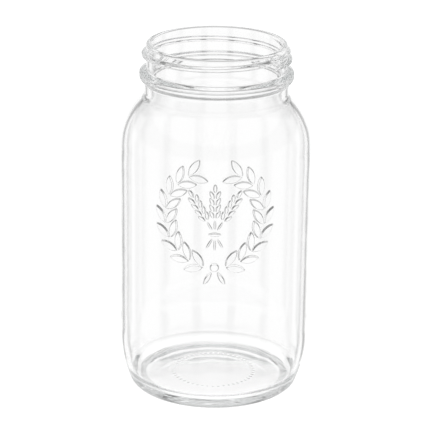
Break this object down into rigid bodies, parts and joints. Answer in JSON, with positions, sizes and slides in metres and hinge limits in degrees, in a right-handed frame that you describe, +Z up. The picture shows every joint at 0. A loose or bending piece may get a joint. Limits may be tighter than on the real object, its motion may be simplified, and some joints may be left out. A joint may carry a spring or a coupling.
{
  "type": "glass preserving jar",
  "caption": "Clear glass jar with a straight round body, rounded shoulder, beaded neck, wide screw-thread mouth and a raised wreath on the front.",
  "frame": {"origin": "on the jar's axis, at the level of the ring it stands on", "axes": "+Z up along the axis towards the mouth, -Y towards the front with the raised wreath, +X to the right seen from the front"},
  "size_m": [0.11, 0.1109, 0.2064],
  "materials": {
    "clear_glass": "fire-polished clear soda-lime glass"
  },
  "bodies": {
    "root": {"base": "clear_glass", "heel": "clear_glass", "body_wall": "clear_glass", "shoulder": "clear_glass", "neck": "clear_glass", "lower_bead": "clear_glass", "upper_bead": "clear_glass", "mouth_wall": "clear_glass", "sealing_lip": "clear_glass", "screw_thread": "clear_glass", "medallion": "clear_glass"}
  },
  "joints": []
}
